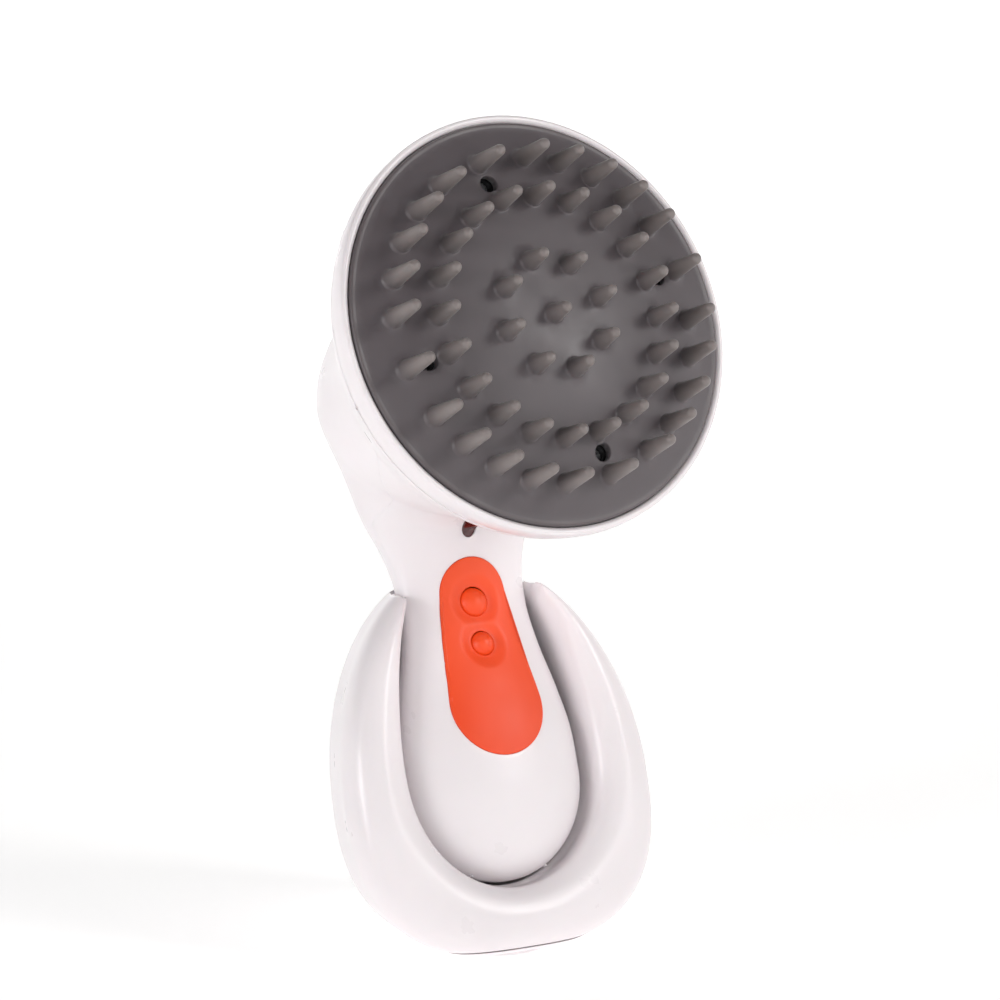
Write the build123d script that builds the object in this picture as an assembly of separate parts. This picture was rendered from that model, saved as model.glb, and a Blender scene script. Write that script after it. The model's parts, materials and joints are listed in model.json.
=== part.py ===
"""Rechargeable scalp massager standing in its egg-shaped charging dock.

World frame: +Z up, the user stands on the -Y side, X is across. The origin is the centre of the
dock's rubber sole, on the table. Three local frames carry the shapes:
STEM  z runs up the handle, y points to the back of the handle, origin at the handle's lowest point
HEAD  z points out of the pad, y runs up the face, origin at the centre of the pad's edge circle
DOCK  z points out of the dock's ring, y runs up the ring, origin at the ring's lowest front point
"""
from build123d import *
import os
from math import cos, pi, radians, sin

os.makedirs("parts", exist_ok=True)

# ---- driving dimensions, millimetres and degrees
FACE_Z = 141.4                 # height of the pad's edge circle centre above the table
FACE_Y = -37.0
FACE_TILT = 20.1               # the pad looks this far above the horizontal
LEAN = 18.0                    # handle and dock lean back by this much
PAD_R = 45.0
RIM_R = 48.0
DOME = 7.0                     # height of the pad's dome over its edge
TIP_BACK = 12.8                # handle tip behind the face centre
TIP_Z = 14.4
WALL = 2.2
SEAM = 0.1                     # gap at a parting line between two shells
FIT = 0.05                     # gap of parts that lie on each other
REACH = 90.0                   # longer than the object is wide, for cutting tools

# ---- handle sections: height, half width, depth to the front, depth to the back
BULB_H, BULB_RISE = 23.5, 22.7   # widest height of the bulb, and how far its tip lies below it
BULB_W, BULB_F, BULB_R = 22.2, 10.2, 13.0
STEM_SECTIONS = [
    (33.0, 21.9, 10.0, 13.0),
    (43.0, 19.9, 8.6, 12.4),
    (53.0, 17.3, 6.6, 11.6),
    (63.0, 15.8, 5.4, 11.0),
    (71.0, 16.3, 5.8, 11.5),
    (79.0, 18.6, 7.3, 13.2),
    (87.0, 22.2, 10.4, 15.6),
    (95.0, 24.6, 15.0, 16.8),
    (102.0, 25.0, 17.0, 15.0),
]
# ---- head sections: depth behind the face, half width, up, down, drop of the centre
HEAD_SECTIONS = [
    (0.0, 46.4, 46.4, 46.4, 0.0),
    (2.5, 47.0, 47.0, 47.0, 0.0),
    (7.0, 45.9, 45.9, 45.9, 0.2),
    (14.0, 42.4, 42.2, 42.2, 1.2),
    (24.0, 36.6, 36.0, 35.6, 3.0),
    (34.0, 33.8, 32.4, 31.2, 4.6),
    (44.0, 32.2, 30.4, 28.0, 5.6),
    (54.0, 28.4, 27.0, 25.4, 6.2),
    (62.0, 22.8, 21.6, 20.6, 6.8),
    (67.5, 14.4, 13.6, 13.0, 7.0),
]
HEAD_BACK = (71.5, 7.0)        # depth and drop of the rearmost point

# ---- dock ring: egg outline, its lower and upper half heights, and the basin's opening
# steps: depth behind the crest, inset of the outline, and rise of its upper end
EGG_Y, EGG_W, EGG_LOW, EGG_HIGH = 37.6, 38.0, 37.7, 50.3
EGG_SQUARE = {"power_low": 2.67, "power_high": 1.95}
BASIN_Y, BASIN_W, BASIN_LOW, BASIN_HIGH = 41.0, 23.6, 26.1, 55.0
RING_STEPS = [(0.0, 6.8, 0.0), (-0.9, 3.4, 0.0), (-2.8, 1.1, 0.2), (-5.0, 0.2, 0.5), (-7.0, 0.0, 0.9),
              (-12.0, 1.4, 2.4), (-17.0, 2.8, 3.8), (-22.0, 4.4, 4.6), (-27.0, 6.4, 4.8),
              (-31.0, 9.8, 3.4), (-33.5, 14.5, 1.0)]
BASIN_STEPS = [(1.2, -9.5), (0.0, -6.8), (-0.9, -3.4), (-2.8, -1.1), (-6.0, 0.0), (-13.0, 0.2),
               (-17.6, 0.8), (-20.8, 2.8), (-22.6, 6.5), (-23.1, 10.0)]
RING_CREST_Y = -9.5            # stem y of the ring's front crest
RING_BELOW_TIP = 14.9          # from the ring's lowest front point up to the handle's origin
SEAT_GAP = 0.5                 # air between the handle and the seat behind it
WAY_GAP = 1.6                  # air beside the handle on its way out to the front
DOCK_SPLIT = -27.6             # dock z of the parting plane between front and rear shell
POD_W, POD_Y, POD_LOW, POD_HIGH = 14.8, -8.0, 23.5, 43.0
POD_STEPS = [(-1.0, 2.4, 0.0, 2.2), (3.0, 1.0, 0.0, 0.8), (10.0, 0.0, 1.0, 0.0), (24.0, 0.4, 6.0, 1.0),
             (40.0, 2.4, 14.0, 5.5), (52.0, 5.5, 22.0, 11.0)]
PLATE_LOW, PLATE_HIGH = 0.6, 2.4
SOLE_W, SOLE_L = 11.3, 29.5    # half width and half length of the rubber sole

# ---- pad pattern: ring radius, tine length at that ring, and the angles of the tines
PATTERN_TURN = 15.0
TINE_PLANE = 13.7              # all tips end this far in front of the pad's edge
OUTER_RING, MIDDLE_RING, INNER_RING = 36.1, 26.7, 12.4
HOLE_RING, HOLE_R = 31.2, 1.95
TINE_TIP_R, TINE_ROOT_R, TINE_FLARE = 1.2, 2.05, 0.7
TIP_FLAT = 0.2                 # radius of the small flat where a round tip is gated

# ---- keypad: two circles whose hull is the outline, and the two buttons
PAD_TOP_H, PAD_TOP_R = 65.4, 8.3
PAD_LOW_H, PAD_LOW_R = 39.9, 11.6
KEY_H = {"power_button": 63.7, "mode_button": 54.0}
KEY_R = {"power_button": 3.25, "mode_button": 2.7}
KEY_DISH = {"power_button": 5.9, "mode_button": 5.2}
KEY_LEAN = 7.5                 # the front of the handle leans this much more than its axis
KEY_TRAVEL = 0.7
LENS_H = 80.3

# ---- frames
def tilted(y, z, turn):
    """Frame whose z axis leans back from straight up by turn degrees and whose y axis points back."""
    return Plane(origin=(0, y, z), x_dir=(1, 0, 0), z_dir=(0, sin(radians(turn)), cos(radians(turn))))


def facing(origin, raised):
    """Frame whose z axis points to the user, raised above the horizontal, and whose y axis runs up."""
    return Plane(origin=origin, x_dir=(1, 0, 0), z_dir=(0, -cos(radians(raised)), sin(radians(raised))))


STEM = tilted(FACE_Y + TIP_BACK, TIP_Z, LEAN)
HEAD = facing((0, FACE_Y, FACE_Z), FACE_TILT)
DOCK = facing(STEM.from_local_coords((0, RING_CREST_Y, -RING_BELOW_TIP)), LEAN)


def cylinder(frame, x, y, low, high, radius):
    """Cylinder along the z axis of a frame."""
    at = frame * Pos(x, y, low)
    return at * Cylinder(radius, high - low, align=(Align.CENTER, Align.CENTER, Align.MIN))


def block(frame, x, y, z):
    """Box given by its low and high ends along each axis of a frame."""
    centre = [(side[0] + side[1]) / 2 for side in (x, y, z)]
    return frame * Pos(*centre) * Box(x[1] - x[0], y[1] - y[0], z[1] - z[0])


def oval_points(width, low, high, power_low=2.0, power_high=2.0, count=24):
    """Points round an oval whose lower and upper halves may differ in height and squareness."""
    points = []
    for step in range(count):
        angle = 2 * pi * step / count
        c, s = cos(angle), sin(angle)
        depth, power = (high, power_high) if s >= 0 else (low, power_low)
        x = width * (1 if c >= 0 else -1) * abs(c) ** (2 / power)
        y = depth * (1 if s >= 0 else -1) * abs(s) ** (2 / power)
        points.append((x, y))
    return points


def oval(frame, shift, level, width, low, high, **squareness):
    """Face bounded by one smooth closed curve, shift up the frame's y axis and at z = level."""
    points = oval_points(width, low, high, **squareness)
    curve = Spline([(x, y + shift) for x, y in points], periodic=True)
    return frame * Pos(0, 0, level) * make_face(curve)


# ---- the massager's outer form
def stem_body(grow=0.0):
    """Handle from its rounded lower end to inside the head, grown by an offset."""
    sections = []
    for angle in (20, 40, 60, 80):
        size = sin(radians(angle))
        height = BULB_H - (BULB_RISE + grow) * cos(radians(angle))
        sections.append((height, *(size * (side + grow) for side in (BULB_W, BULB_F, BULB_R))))
    for height, width, front, rear in STEM_SECTIONS:
        sections.append((height, width + grow, front + grow, rear + grow))
    faces = [oval(STEM, 0, s[0], s[1], s[2], s[3]) for s in sections]
    tip = Vertex(*STEM.from_local_coords((0, 0, BULB_H - BULB_RISE - grow)))
    return loft([tip, *faces])


def head_body(grow=0.0):
    """Domed back of the head, from the rim back to its rearmost point, grown by an offset."""
    faces = []
    for depth, width, up, down, drop in HEAD_SECTIONS:
        faces.append(oval(HEAD, -drop, -depth, width + grow, down + grow, up + grow))
    depth, drop = HEAD_BACK
    back = Vertex(*HEAD.from_local_coords((0, -drop, -depth - grow)))
    return loft([*faces, back])


def massager_body(grow=0.0):
    """Handle and head as one body."""
    return stem_body(grow) + head_body(grow)


# ---- the dock's outer form
def ring_body(grow=0.0):
    """Egg-shaped ring with a rounded front, tapering to the back, grown by an offset."""
    faces = []
    front, back = RING_STEPS[0][0], RING_STEPS[-1][0]
    for level, inset, rise in reversed(RING_STEPS):
        share = 1 - 2 * (level - front) / (back - front)
        width = EGG_W - inset + grow
        low, high = EGG_LOW - inset + grow, EGG_HIGH - inset + rise + grow
        faces.append(oval(DOCK, EGG_Y, level + grow * share, width, low, high, **EGG_SQUARE))
    return loft(faces)


def basin_body(grow=0.0):
    """Space cut from the ring for the handle, with a rounded mouth, grown by an offset."""
    faces = []
    for level, inset in reversed(BASIN_STEPS):
        width = BASIN_W - inset + grow
        low, high = BASIN_LOW - inset + grow, BASIN_HIGH - inset + grow
        faces.append(oval(DOCK, BASIN_Y, level - (grow if level < -1 else 0), width, low, high))
    return loft(faces)


def way_out(grow):
    """Straight way to the front for the handle: its widest outline carried out of the ring."""
    side = []
    for angle in (30, 60, 90):
        size = sin(radians(angle))
        side.append((size * (BULB_W + grow), BULB_H - (BULB_RISE + grow) * cos(radians(angle))))
    side += [(width + grow, height) for height, width, front, rear in STEM_SECTIONS]
    mirrored = [(-x, height) for x, height in reversed(side)]
    curve = Spline([*mirrored, (0, BULB_H - BULB_RISE - grow), *side])
    outline = make_face(curve + Line(curve @ 1, curve @ 0))
    ahead = Plane(origin=STEM.origin, x_dir=(1, 0, 0), z_dir=-STEM.y_dir)
    return ahead * extrude(outline, 25)


def pod_body(grow=0.0):
    """Foot under the ring with a tail behind it that keeps the leaning dock upright."""
    faces = []
    for height, narrow, front, back in POD_STEPS:
        faces.append(oval(Plane.XY, POD_Y, height, POD_W - narrow + grow, POD_LOW - front + grow,
                          POD_HIGH - back + grow, power_low=2.4, power_high=2.4))
    return loft(faces)


def dock_body(grow=0.0):
    """Ring and foot as one body, not yet cut by the table plane."""
    return ring_body(grow) + pod_body(grow)


# ---- cutting tools and small helpers
UP = (Align.CENTER, Align.CENTER, Align.MIN)
DOWN = (Align.CENTER, Align.CENTER, Align.MAX)


def half_space(frame, level, side):
    """Everything above (side UP) or below (side DOWN) the plane z = level of a frame."""
    return frame * Pos(0, 0, level) * Box(4 * REACH, 4 * REACH, 3 * REACH, align=side)


def world(frame, x, y, z):
    """World coordinates of a point given in a frame."""
    return tuple(frame.from_local_coords((x, y, z)))


def across(frame, x, y, z, direction):
    """Frame at a point of another frame, with its z axis along a direction and x across."""
    return Plane(origin=world(frame, x, y, z), x_dir=(1, 0, 0), z_dir=direction)


BACKWARD, FORWARD = STEM.y_dir, -STEM.y_dir


def handle_cross(x, height, front, rear, radius):
    """Cylinder through the handle from front to back, between two stem y values."""
    return cylinder(across(STEM, x, front, height, BACKWARD), 0, 0, 0, rear - front, radius)


def polar(radius, angle):
    return radius * cos(radians(angle)), radius * sin(radians(angle))


def turned(frame, *curves):
    """Solid turned about the z axis of a frame from curves that close in its xz plane."""
    outline = Wire([edge for curve in curves for edge in curve.edges()])
    return frame * revolve(Face(outline), Axis.Z, 360)


def rod(points):
    """Chain of straight edges through (radius, z) points."""
    return Polyline([(r, 0, z) for r, z in points])


def arc(start, middle, end):
    """Circular edge through three (radius, z) points."""
    return ThreePointArc(*[(r, 0, z) for r, z in (start, middle, end)])


def largest(shape):
    """The biggest solid of a shape, without slivers that a cut may leave."""
    return max(shape.solids(), key=lambda solid: solid.volume)


# ---- screws
def screw(frame, x, y, seat, length, radius=1.1, head_r=2.1, head_t=1.3):
    """Cross-slotted screw whose head lies on z = seat and whose shank points down the z axis."""
    shank = cylinder(frame, x, y, seat - length, seat, radius)
    head = cylinder(frame, x, y, seat, seat + head_t, head_r)
    top = seat + head_t
    slots = []
    for long, short in ((0.65 * head_r, 0.3), (0.3, 0.65 * head_r)):
        slots.append(block(frame, (x - long, x + long), (y - short, y + short), (top - 0.6, top + 1)))
    return (shank + head - slots).solid()


# ---- massager shells
RIM_BACK = -6.3                # head z where the rim ring ends and the housing begins
THROAT_H = 84.0                # stem height where the parting line leaves the handle
CHIN_Y = -15.0                 # head y where the parting line meets the rim ring
BOSS_R, BORE_R = 3.0, 1.15
HOUSING_SCREWS = [(-15.2, 24.0), (15.2, 24.0), (-11.8, 76.0), (11.8, 76.0)]
SCREW_SEAT = 4.0
BOARD_Y, BOARD_T = 1.6, 1.2
BOARD_SCREWS = [58.1, 73.5]
CHASSIS_LOW, CHASSIS_HIGH, CHASSIS_R = -14.0, -12.0, 37.0
CHASSIS_SCREW_R, CHASSIS_SCREWS = 33.0, (0.0, 90.0, 180.0)
CONTACT_X, CONTACT_H, CONTACT_R, CONTACT_T, CONTACT_BACK = (-6.0, 6.0), 30.0, 2.5, 1.0, 12.45
KEY_FRONT = {"power_button": 5.4, "mode_button": 6.45}   # stem depth of the handle's front there
KEY_GAP = 0.15
KEY_RISE = 1.3                 # top of a button's dome over the handle's surface
KEYPAD_DEPTH = 1.0             # how deep the keypad sits in its recess
KEYPAD_PROUD = 0.3
DISH_DEPTH = 0.4
LENS_WIDE, LENS_TALL = 1.9, 2.4


def front_region(gap):
    """Space in front of the parting surface, moved forward by a gap."""
    corners = [world(STEM, 0, -gap, -30), world(STEM, 0, -gap, THROAT_H),
               world(HEAD, 0, CHIN_Y - gap, RIM_BACK), world(HEAD, 0, CHIN_Y - gap, REACH),
               (0, -2 * REACH, FACE_Z), (0, -2 * REACH, -REACH), (0, 0, -REACH)]
    face = make_face(Polyline(corners, close=True))
    return extrude(face, REACH, dir=(1, 0, 0), both=True)


def through_front(sketch, height=0.0):
    """Prism of a sketch drawn on the front of the handle (x across, y up from a height)."""
    return across(STEM, 0, 0, height, FORWARD) * extrude(sketch, 30)


def keypad_outline(margin):
    """Hull of two circles, narrower at the top, enlarged by a margin."""
    circles = [Pos(0, PAD_TOP_H) * Circle(PAD_TOP_R + margin), Pos(0, PAD_LOW_H) * Circle(PAD_LOW_R + margin)]
    return make_hull([circle.edge() for circle in circles])


def lens_outline(margin):
    return Ellipse(LENS_TALL + margin, LENS_WIDE + margin, rotation=90)


def key_frame(name):
    """Frame at a button: z out of the handle, origin on the handle's front surface."""
    return facing(world(STEM, 0, -KEY_FRONT[name], KEY_H[name]), LEAN + KEY_LEAN)


def make_shells(outer, inner, thin):
    """Front and rear housing with their bosses, screw holes and keypad recess."""
    shell = (outer - inner) & half_space(HEAD, RIM_BACK - FIT, DOWN)
    posts = [handle_cross(x, height, -30, 30, BOSS_R) for x, height in HOUSING_SCREWS]
    posts += [handle_cross(0, height, BOARD_Y + BOARD_T + FIT, 30, 2.4) for height in BOARD_SCREWS]
    for angle in CHASSIS_SCREWS:
        posts.append(cylinder(HEAD, *polar(CHASSIS_SCREW_R, angle), -60, CHASSIS_LOW - FIT, BOSS_R))
    shell = shell + [post & thin for post in posts]
    bores = [handle_cross(x, height, -3.5, 30, BORE_R) for x, height in HOUSING_SCREWS]
    bores += [handle_cross(0, height, 0, 8, BORE_R) for height in BOARD_SCREWS]
    for angle in CHASSIS_SCREWS:
        bores.append(cylinder(HEAD, *polar(CHASSIS_SCREW_R, angle), -22, 0, BORE_R))
    shell = shell - bores
    front = shell & front_region(0)
    recess = through_front(keypad_outline(KEY_GAP)) - stem_body(-KEYPAD_DEPTH - FIT)
    front = front - recess - through_front(lens_outline(FIT), LENS_H)
    front = front - [cylinder(key_frame(name), 0, 0, -12, 3, KEY_R[name] + KEY_GAP) for name in KEY_H]
    rear = shell - front_region(-SEAM)
    cuts = []
    for x, height in HOUSING_SCREWS:
        cuts.append(handle_cross(x, height, SCREW_SEAT, 30, 2.4))
        cuts.append(handle_cross(x, height, -1, SCREW_SEAT + 1, 1.35))
    for x in CONTACT_X:
        cuts.append(handle_cross(x, CONTACT_H, CONTACT_BACK - CONTACT_T - FIT, 30, CONTACT_R + FIT))
        cuts.append(handle_cross(x, CONTACT_H, 8, 30, 0.85))
    rear = rear - cuts
    return largest(front), largest(rear)


def make_housing_screws():
    frame = across(STEM, 0, 0, 0, BACKWARD)
    return [screw(frame, x, -height, SCREW_SEAT, 7.0) for x, height in HOUSING_SCREWS]


def make_contacts():
    """Two plates on the back of the handle, each with a stud through the shell."""
    plates = []
    for x in CONTACT_X:
        plate = handle_cross(x, CONTACT_H, CONTACT_BACK - CONTACT_T, CONTACT_BACK, CONTACT_R)
        plates.append((plate + handle_cross(x, CONTACT_H, 9.6, CONTACT_BACK - 0.5, 0.8)).solid())
    return plates


# ---- keypad, buttons and indicator
def make_keypad(level_up, level_down):
    """Overlay that follows the front of the handle, with a dish round the buttons."""
    sheet = (stem_body(level_up) - stem_body(level_down)) & through_front(keypad_outline(0))
    dish = [Pos(0, KEY_H[name]) * Circle(KEY_DISH[name]) for name in KEY_H]
    floor = through_front(dish[0] + dish[1]) - stem_body(level_up - DISH_DEPTH)
    holes = [cylinder(key_frame(name), 0, 0, -12, 3, KEY_R[name] + KEY_GAP) for name in KEY_H]
    return largest(sheet - floor - holes)


def switch_depth(name):
    """Distance from the handle's surface to the switch's plunger along a button's axis."""
    return (KEY_FRONT[name] + BOARD_Y - 2.0) / cos(radians(KEY_LEAN))


def make_button(name):
    """Domed button with a retaining flange and a nub over its switch."""
    radius, flange = KEY_R[name], KEY_R[name] + 0.85
    nub = KEY_TRAVEL + 0.1 - switch_depth(name)
    shoulder = 0.25
    low = rod([(radius, shoulder), (radius, -2.65), (flange, -2.65), (flange, -3.35), (0.9, -3.35),
               (0.9, nub), (0, nub), (0, KEY_RISE)])
    slope = (0.62 * radius, shoulder + 0.8 * (KEY_RISE - shoulder))
    return turned(key_frame(name), low, arc((0, KEY_RISE), slope, (radius, shoulder))).solid()


def make_board(room):
    """Control board behind the keypad."""
    board = block(STEM, (-8.5, 8.5), (BOARD_Y, BOARD_Y + BOARD_T), (45.5, 82.5)) & room
    return (board - [handle_cross(0, height, 0, 6, 1.2) for height in BOARD_SCREWS]).solid()


def make_switches():
    """Two tact switches, each with a round plunger."""
    switches = []
    for name in KEY_H:
        height = KEY_H[name] - (KEY_FRONT[name] + 0.4) * sin(radians(KEY_LEAN))
        body = block(STEM, (-2.25, 2.25), (0.1, BOARD_Y), (height - 2.25, height + 2.25))
        switches.append((body + handle_cross(0, height, -0.4, 0.5, 1.0)).solid())
    return switches


def make_board_screws():
    frame = across(STEM, 0, 0, 0, FORWARD)
    return [screw(frame, 0, height, -BOARD_Y, 5.5, radius=1.05, head_r=1.9, head_t=1.1)
            for height in BOARD_SCREWS]


def make_led():
    """Round-nosed indicator lamp on the board."""
    frame = across(STEM, 0, BOARD_Y, LENS_H, FORWARD)
    outline = rod([(TIP_FLAT, 3.6), (0, 3.6), (0, 0), (1.9, 0), (1.9, 0.7), (1.5, 0.7), (1.5, 2.1)])
    return turned(frame, outline, arc((1.5, 2.1), (1.1, 3.15), (TIP_FLAT, 3.6))).solid()


def make_lens():
    """Dark window that fills the oval hole over the lamp."""
    skin = stem_body(-0.25) - stem_body(-WALL - 0.4)
    return largest(skin & through_front(lens_outline(0), LENS_H))


# ---- battery
CELL_R, CELL_X, CELL_Y, CELL_LOW, CELL_HIGH = 5.25, 5.6, 1.6, 12.0, 42.0


def make_cells():
    """Two cells side by side, each with its terminal."""
    cells = []
    for x in (-CELL_X, CELL_X):
        cell = cylinder(STEM, x, CELL_Y, CELL_LOW, CELL_HIGH - 1, CELL_R)
        cells.append((cell + cylinder(STEM, x, CELL_Y, CELL_HIGH - 2, CELL_HIGH, 1.9)).solid())
    return cells


def make_tray(room):
    """Cradle that holds the cells from behind."""
    tray = block(STEM, (-11.6, 11.6), (2.0, 8.4), (CELL_LOW - 1.4, CELL_HIGH + 1.4)) & room
    wells = [cylinder(STEM, x, CELL_Y, CELL_LOW - 0.1, CELL_HIGH + 0.1, CELL_R + 0.1)
             for x in (-CELL_X, CELL_X)]
    return largest(tray - wells)


# ---- head: rim, pad, plate, seal, chassis and motor
LEDGE_R, LEDGE_Z = 41.0, -4.6


def make_rim():
    """Ring round the pad: rounded lip, recess for the pad and a ledge with a seal groove."""
    side = Spline([(r, 0, z) for r, z in ((45.95, RIM_BACK), (46.75, -4.0), (47.0, -2.2), (46.75, -0.6),
                                          (46.1, 0.35), (45.5, 0.45))])
    inside = rod([(45.5, 0.45), (45.15, 0.1), (45.15, LEDGE_Z), (43.9, LEDGE_Z), (43.9, -5.75),
                  (42.5, -5.75), (42.5, LEDGE_Z), (LEDGE_R, LEDGE_Z), (LEDGE_R, RIM_BACK),
                  (45.95, RIM_BACK)])
    return turned(HEAD, side, inside).solid()


def dome_z(radius):
    """Height of the pad's domed face over its edge plane."""
    return DOME * (1 - (radius / PAD_R) ** 2)


def tine(x, y):
    """Tapered finger with a flared foot and a round tip, parallel to the head's axis."""
    foot = dome_z((x * x + y * y) ** 0.5)
    wide = TINE_ROOT_R + TINE_FLARE
    side = Spline([(wide, 0, foot - 0.2), (TINE_ROOT_R + 0.12, 0, foot + 0.9),
                   (TINE_TIP_R + 0.06, 0, TINE_PLANE - TINE_TIP_R)])
    tip = arc((TINE_TIP_R + 0.06, TINE_PLANE - TINE_TIP_R),
              (0.75 * TINE_TIP_R, TINE_PLANE - 0.33 * TINE_TIP_R), (TIP_FLAT, TINE_PLANE))
    core = rod([(TIP_FLAT, TINE_PLANE), (0, TINE_PLANE), (0, foot - 1.3), (wide, foot - 1.3),
                (wide, foot - 0.2)])
    return turned(HEAD * Pos(x, y, 0), side, tip, core)


def tine_places():
    """Centres of all tines: an uneven outer ring, an even middle ring, an inner ring and the centre."""
    places = [(0.0, 0.0)]
    for quarter in (0, 90, 180, 270):
        places += [polar(OUTER_RING, quarter + part + PATTERN_TURN) for part in (0, 18, 31.5, 45, 58.5, 72)]
    places += [polar(MIDDLE_RING, 18 * step + PATTERN_TURN) for step in range(20)]
    places += [polar(INNER_RING, 45 * step + PATTERN_TURN) for step in range(8)]
    return places


def hole_places():
    return [polar(HOLE_RING, quarter + PATTERN_TURN) for quarter in (0, 90, 180, 270)]


def make_pad():
    """Silicone pad: domed skin with an edge bead, the tines, and four screw holes."""
    face = arc((0, DOME), (22.0, dome_z(22.0) + 0.03), (43.7, 0.3))
    bead = arc((43.7, 0.3), (44.35, 0.5), (45.0, 0.0))
    back = rod([(45.0, 0.0), (45.0, -2.4), (43.8, -2.4)])
    under = arc((43.8, -2.4), (22.0, 2.85), (0, DOME - 2.4))
    skin = turned(HEAD, face, bead, back, under, rod([(0, DOME - 2.4), (0, DOME)]))
    pad = skin + [tine(x, y) for x, y in tine_places()]
    return largest(pad - [cylinder(HEAD, x, y, -5, 10, HOLE_R) for x, y in hole_places()])


PLATE_SEAT = -1.6              # head z under the pad screws' heads


def make_pad_plate():
    """Rigid domed plate behind the pad, with a post under each pad screw."""
    top = arc((0, 4.5), (22.0, 2.78), (43.7, -2.45))
    edge = rod([(43.7, -2.45), (44.9, -2.45), (44.9, -4.5), (41.5, -4.5)])
    under = arc((41.5, -4.5), (21.0, 0.76), (0, 2.5))
    plate = turned(HEAD, top, edge, under, rod([(0, 2.5), (0, 4.5)]))
    plate = plate + [cylinder(HEAD, x, y, -4.9, 0, 3.2) for x, y in hole_places()]
    plate = plate - [cylinder(HEAD, x, y, PLATE_SEAT, 5, 1.8) for x, y in hole_places()]
    return (plate - [cylinder(HEAD, x, y, -6, 0, 1.2) for x, y in hole_places()]).solid()


def make_pad_screws():
    return [screw(HEAD, x, y, PLATE_SEAT, 8.0, radius=1.1, head_r=1.65, head_t=1.2)
            for x, y in hole_places()]


def make_seal():
    return (HEAD * Pos(0, 0, -5.15) * Torus(43.2, 0.55)).solid()


def make_chassis():
    """Disc across the head with the motor's sleeve and a boss under each pad screw."""
    chassis = cylinder(HEAD, 0, 0, CHASSIS_LOW, CHASSIS_HIGH, CHASSIS_R)
    bosses = [cylinder(HEAD, x, y, CHASSIS_LOW, -5.0, BOSS_R) for x, y in hole_places()]
    chassis = chassis + bosses + cylinder(HEAD, 0, 0, -36, CHASSIS_LOW, 13.8)
    cuts = [cylinder(HEAD, 0, 0, -40, CHASSIS_LOW, MOTOR_R + 0.15), cylinder(HEAD, 0, 0, -20, 0, 3.5)]
    cuts += [cylinder(HEAD, x, y, -20, 0, BORE_R) for x, y in hole_places()]
    cuts += [cylinder(HEAD, *polar(CHASSIS_SCREW_R, angle), -20, 0, 1.35) for angle in CHASSIS_SCREWS]
    return (chassis - cuts).solid()


MOTOR_R, SHAFT_R = 12.0, 1.0


def make_chassis_screws():
    return [screw(HEAD, *polar(CHASSIS_SCREW_R, angle), CHASSIS_HIGH, 8.0) for angle in CHASSIS_SCREWS]


def make_motor():
    """Motor can with a front boss, a rear boss and the shaft's bore."""
    can = cylinder(HEAD, 0, 0, -40, CHASSIS_LOW - FIT, MOTOR_R) + cylinder(HEAD, 0, 0, -42, -40, 4)
    can = can + cylinder(HEAD, 0, 0, -15, -12.3, 3.3)
    return (can - cylinder(HEAD, 0, 0, -34, 0, SHAFT_R + 0.05)).solid()


def make_shaft():
    return cylinder(HEAD, 0, 0, -33, -4.6, SHAFT_R).solid()


def make_weight():
    """Half-round weight on a hub, off the shaft's axis, so that the head shakes."""
    weight = cylinder(HEAD, 0, 0, -11.4, -5.2, 9.5) & block(HEAD, (-10, 10), (0.6, 10), (-12, -5))
    weight = weight + cylinder(HEAD, 0, 0, -11.4, -5.2, 2.8)
    return (weight - cylinder(HEAD, 0, 0, -12, 0, SHAFT_R + 0.02)).solid()


# ---- dock
PIN_R, PIN_TRAVEL = 1.0, 0.8
PIN_Y = CONTACT_H + RING_BELOW_TIP          # dock y of the charge pins
PIN_TIP = RING_CREST_Y - CONTACT_BACK - 0.1
FLOOR = BASIN_STEPS[-1][0]
BLOCK_FRONT = FLOOR - WALL - 0.1
BLOCK_BACK = BLOCK_FRONT - 7.0
FLANGE_Z = BLOCK_FRONT - 0.9
JACK_Z, JACK_R, JACK_MOUTH, JACK_END = 8.8, 1.8, 34.2, 24.0
DOCK_POST_TOP = 12.5
DOCK_SCREWS = [(-8.0, -22.0), (8.0, -22.0), (-8.2, 6.0), (8.2, 6.0)]


def make_dock(outer):
    """Front shell with the basin, and rear shell with the tail."""
    above = half_space(Plane.XY, PLATE_HIGH + FIT, UP)
    seat = [basin_body(), stem_body(SEAT_GAP), way_out(WAY_GAP)]
    core = dock_body(-WALL) - [basin_body(WALL), stem_body(SEAT_GAP + WALL), way_out(WAY_GAP + WALL)]
    shell = (outer & above) - seat - core
    room = dock_body(-0.8) & above
    posts = [cylinder(Plane.XY, x, y, PLATE_HIGH + FIT, DOCK_POST_TOP, BOSS_R) for x, y in DOCK_SCREWS]
    shell = shell + [(post & room) - basin_body(0.8) for post in posts]
    cuts = [cylinder(Plane.XY, x, y, 0, 9.5, BORE_R) for x, y in DOCK_SCREWS]
    cuts += [cylinder(DOCK, x, PIN_Y, BLOCK_BACK, 0, PIN_R + 0.05) for x in CONTACT_X]
    cuts.append(cylinder(across(Plane.XY, 0, 25, JACK_Z, (0, 1, 0)), 0, 0, 0, 20, 3.35))
    shell = shell - cuts
    front = shell & half_space(DOCK, DOCK_SPLIT, UP)
    rear = shell & half_space(DOCK, DOCK_SPLIT - SEAM, DOWN)
    return largest(front), largest(rear)


def make_base_plate(outer):
    """Plate that closes the dock from below, with countersunk screw holes and board posts."""
    plate = outer & half_space(Plane.XY, PLATE_LOW, UP) & half_space(Plane.XY, PLATE_HIGH, DOWN)
    plate = largest(plate)
    for x, y in DOCK_SCREWS:
        plate = plate - cylinder(Plane.XY, x, y, 0, 1.7, 2.3) - cylinder(Plane.XY, x, y, 0, 4, 1.3)
    return plate.solid()


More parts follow.
